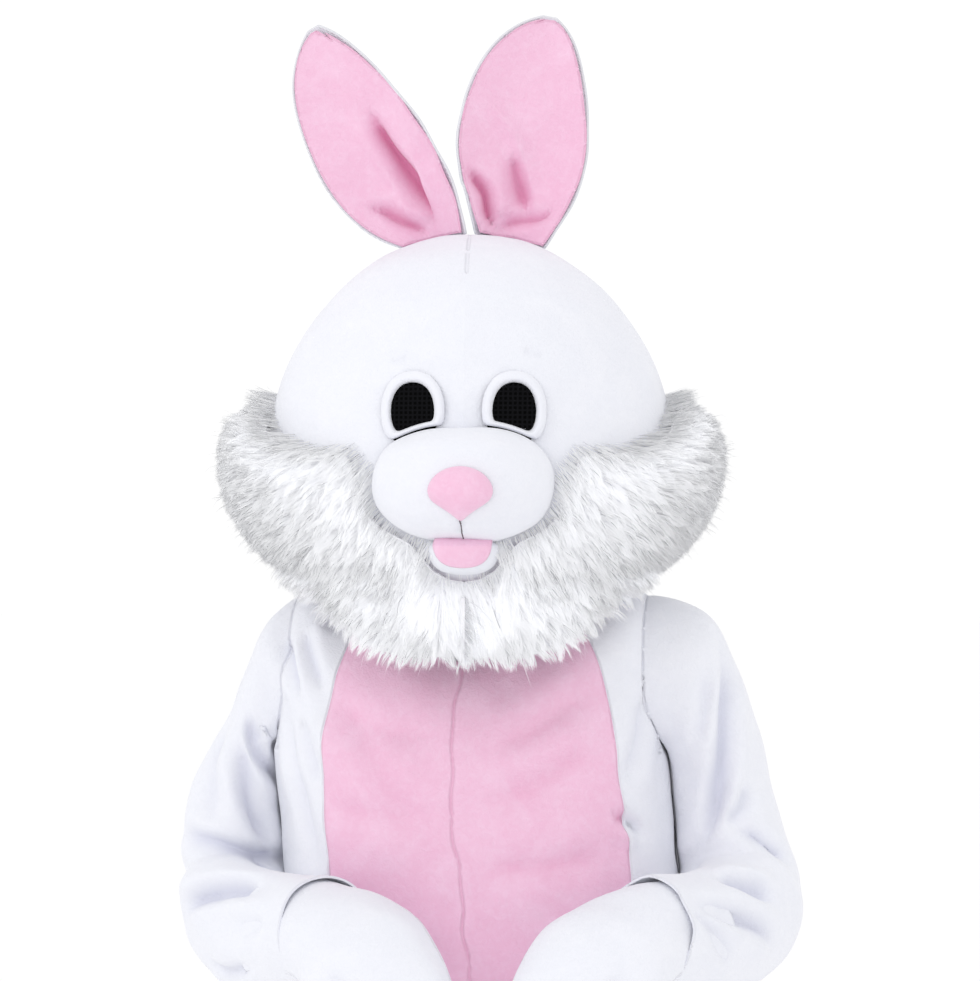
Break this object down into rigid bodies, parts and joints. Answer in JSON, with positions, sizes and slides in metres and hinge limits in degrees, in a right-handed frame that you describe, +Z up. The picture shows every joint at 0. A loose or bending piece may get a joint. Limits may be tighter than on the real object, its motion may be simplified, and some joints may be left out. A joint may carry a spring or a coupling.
{
  "type": "rabbit mascot costume",
  "caption": "Worn plush rabbit mascot costume: jumpsuit with a pink belly panel, mitts and a padded head with long ears, a muzzle, mesh eyes and a fur ruff.",
  "frame": {"origin": "on the vertical through the trunk's middle at the height of the shoulders, where the wearer's shoulders carry the suit", "axes": "+Z up; the costume faces -Y; +X is the wearer's left, which is the viewer's right"},
  "size_m": [0.6958, 0.563, 1.9735],
  "materials": {
    "white_plush": "short-pile white plush",
    "pink_plush": "short-pile pink plush",
    "white_fur": "long-pile white faux fur",
    "black_mesh": "matt black see-through mesh"
  },
  "bodies": {
    "root": {"front_right": "white_plush", "back_right": "white_plush", "belly_right": "pink_plush", "sleeve_right": "white_plush", "mitt_back_right": "white_plush", "mitt_palm_right": "white_plush", "head_right": "white_plush", "ruff_right": "white_fur", "eye_patch_right": "white_plush", "eye_mesh_right": "black_mesh", "ear_front_right": "pink_plush", "ear_back_right": "white_plush", "front_left": "white_plush", "back_left": "white_plush", "belly_left": "pink_plush", "sleeve_left": "white_plush", "mitt_back_left": "white_plush", "mitt_palm_left": "white_plush", "head_left": "white_plush", "ruff_left": "white_fur", "eye_patch_left": "white_plush", "eye_mesh_left": "black_mesh", "ear_front_left": "pink_plush", "ear_back_left": "white_plush", "muzzle": "white_plush", "nose": "pink_plush", "jaw": "white_plush", "tongue": "pink_plush"}
  },
  "joints": []
}
